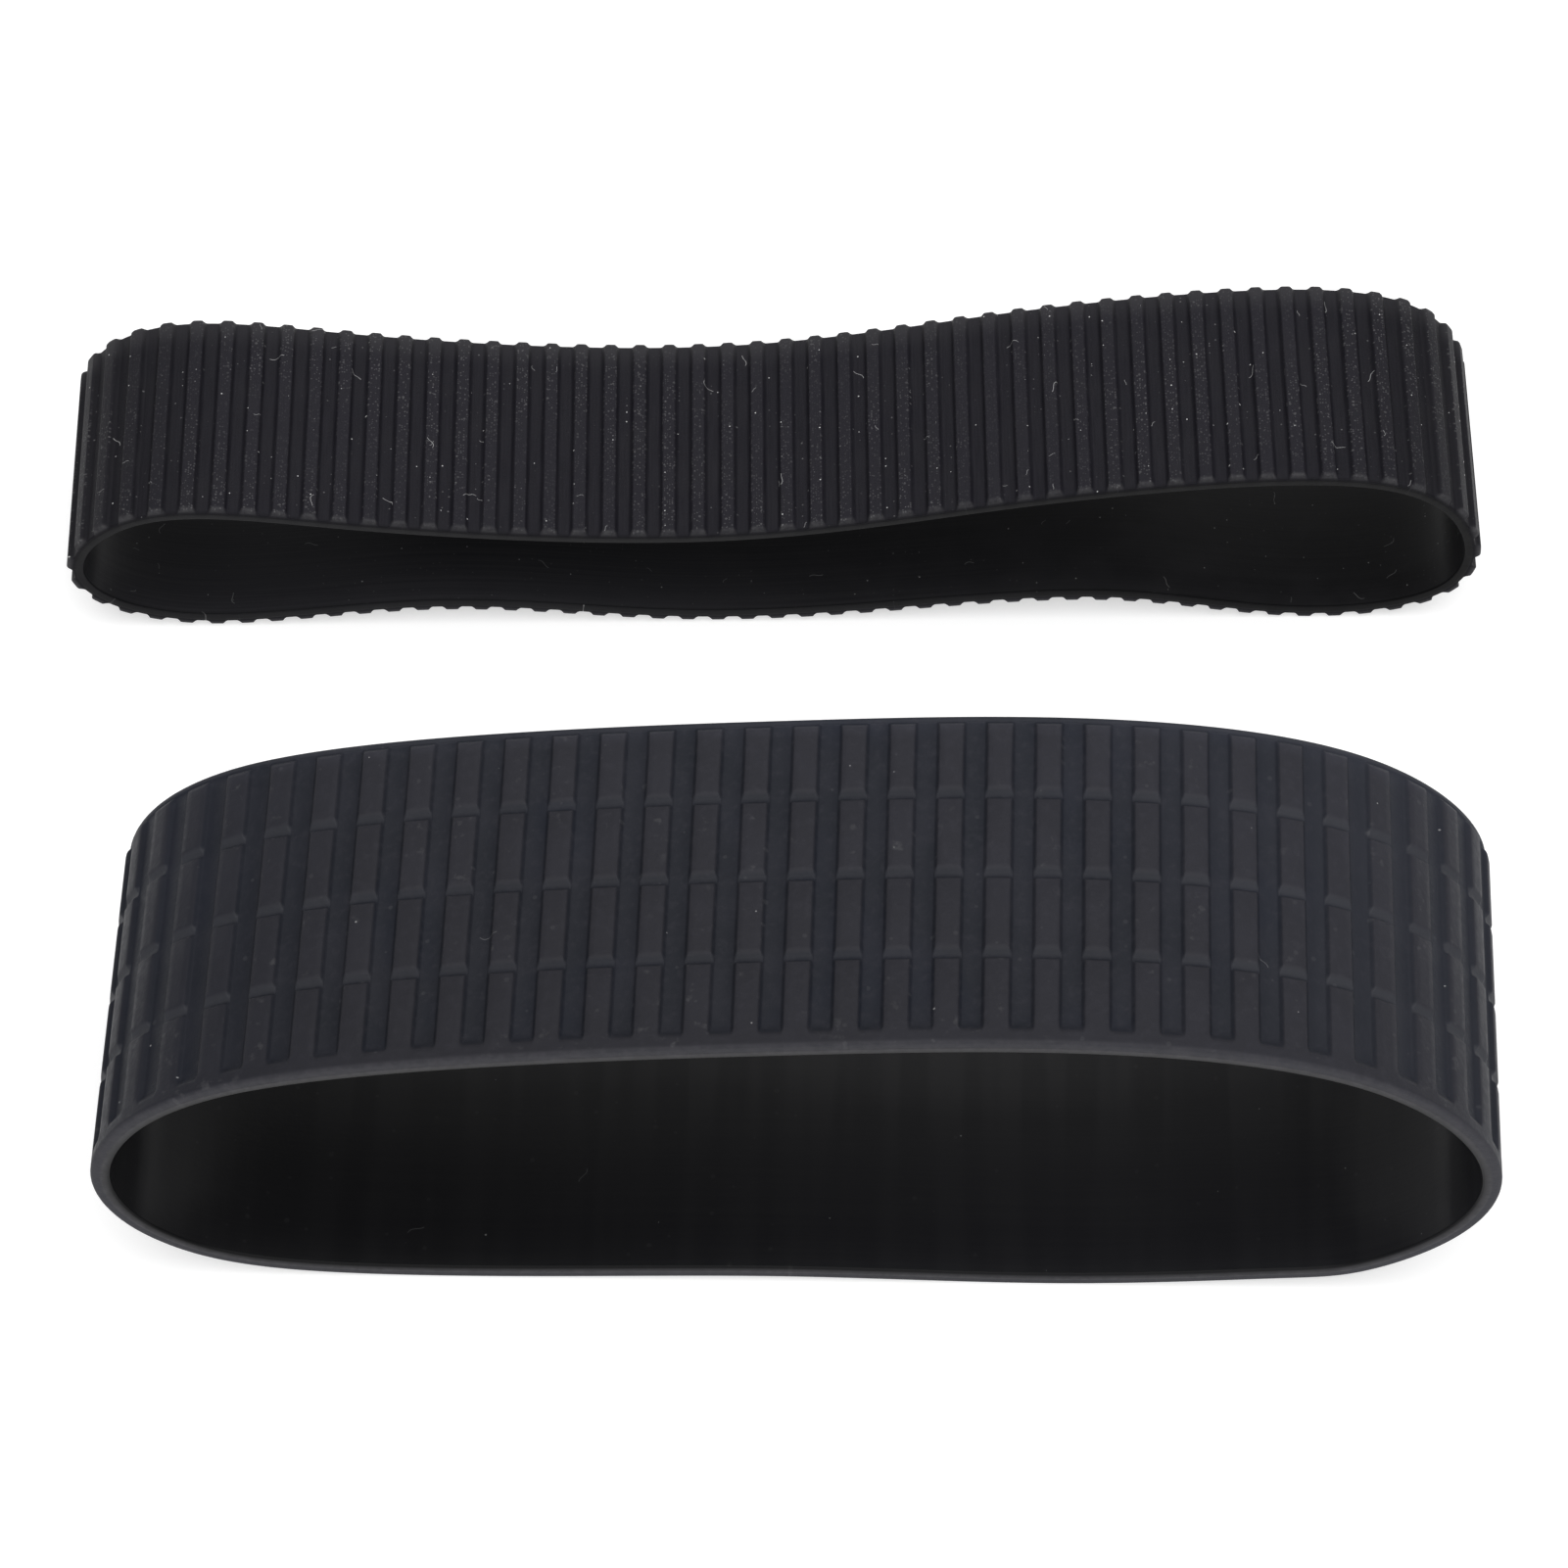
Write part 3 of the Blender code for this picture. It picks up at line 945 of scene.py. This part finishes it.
def add_sun(name, strength, towards, spread):
    """A soft light from far away: where it shines to, and its width in degrees."""
    data = bpy.data.lights.new(name, "SUN")
    data.energy = strength
    data.angle = math.radians(spread)
    sun = bpy.data.objects.new(name, data)
    direction = Vector(towards)
    sun.rotation_euler = direction.to_track_quat("-Z", "Y").to_euler()
    sun.location = -direction
    bpy.context.scene.collection.objects.link(sun)


def add_world(strength):
    world = bpy.data.worlds.new("studio")
    world.use_nodes = True
    background = world.node_tree.nodes["Background"]
    background.inputs["Color"].default_value = (1.0, 1.0, 1.0, 1.0)
    background.inputs["Strength"].default_value = strength
    bpy.context.scene.world = world


def add_floor():
    mesh = bpy.data.meshes.new("floor")
    corners = [(-1, -1), (1, -1), (1, 1), (-1, 1)]
    places = [(x * FLOOR_HALF, y * FLOOR_HALF, 0.0) for x, y in corners]
    mesh.from_pydata(places, [], [(0, 1, 2, 3)])
    nodes = Nodes("floor_paper")
    nodes.shader.inputs["Base Color"].default_value = FLOOR_COLOUR
    nodes.shader.inputs["Roughness"].default_value = 0.9
    nodes.shader.inputs["Specular IOR Level"].default_value = 0.1
    nodes.shader.inputs["Emission Color"].default_value = tone(1.0)
    nodes.shader.inputs["Emission Strength"].default_value = FLOOR_GLOW
    mesh.materials.append(nodes.material)
    floor = bpy.data.objects.new("floor", mesh)
    bpy.context.scene.collection.objects.link(floor)


# ---------------------------------------------------------------- everything together

add_camera()
add_world(SKY_STRENGTH)
add_sun("key", strength=2.35, towards=(-0.12, 0.2, -1.0), spread=75)
add_sun("front", strength=0.9, towards=(0.0, 1.0, -0.1), spread=50)
add_floor()
bpy.context.scene.view_settings.view_transform = "Standard"

focus_band = band(
    "focus_grip_ring", Focus, Loop(FOCUS_OUTLINE), focus_rows(), focus_height, focus_rubber(),
)
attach(focus_band, "focus_grip")
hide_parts("focus_grip_ring")

zoom_band = band(
    "zoom_grip_ring", Zoom, Loop(ZOOM_OUTLINE), zoom_rows(), zoom_height, zoom_rubber(),
)
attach(zoom_band, "zoom_grip")
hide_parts("zoom_grip_ring")
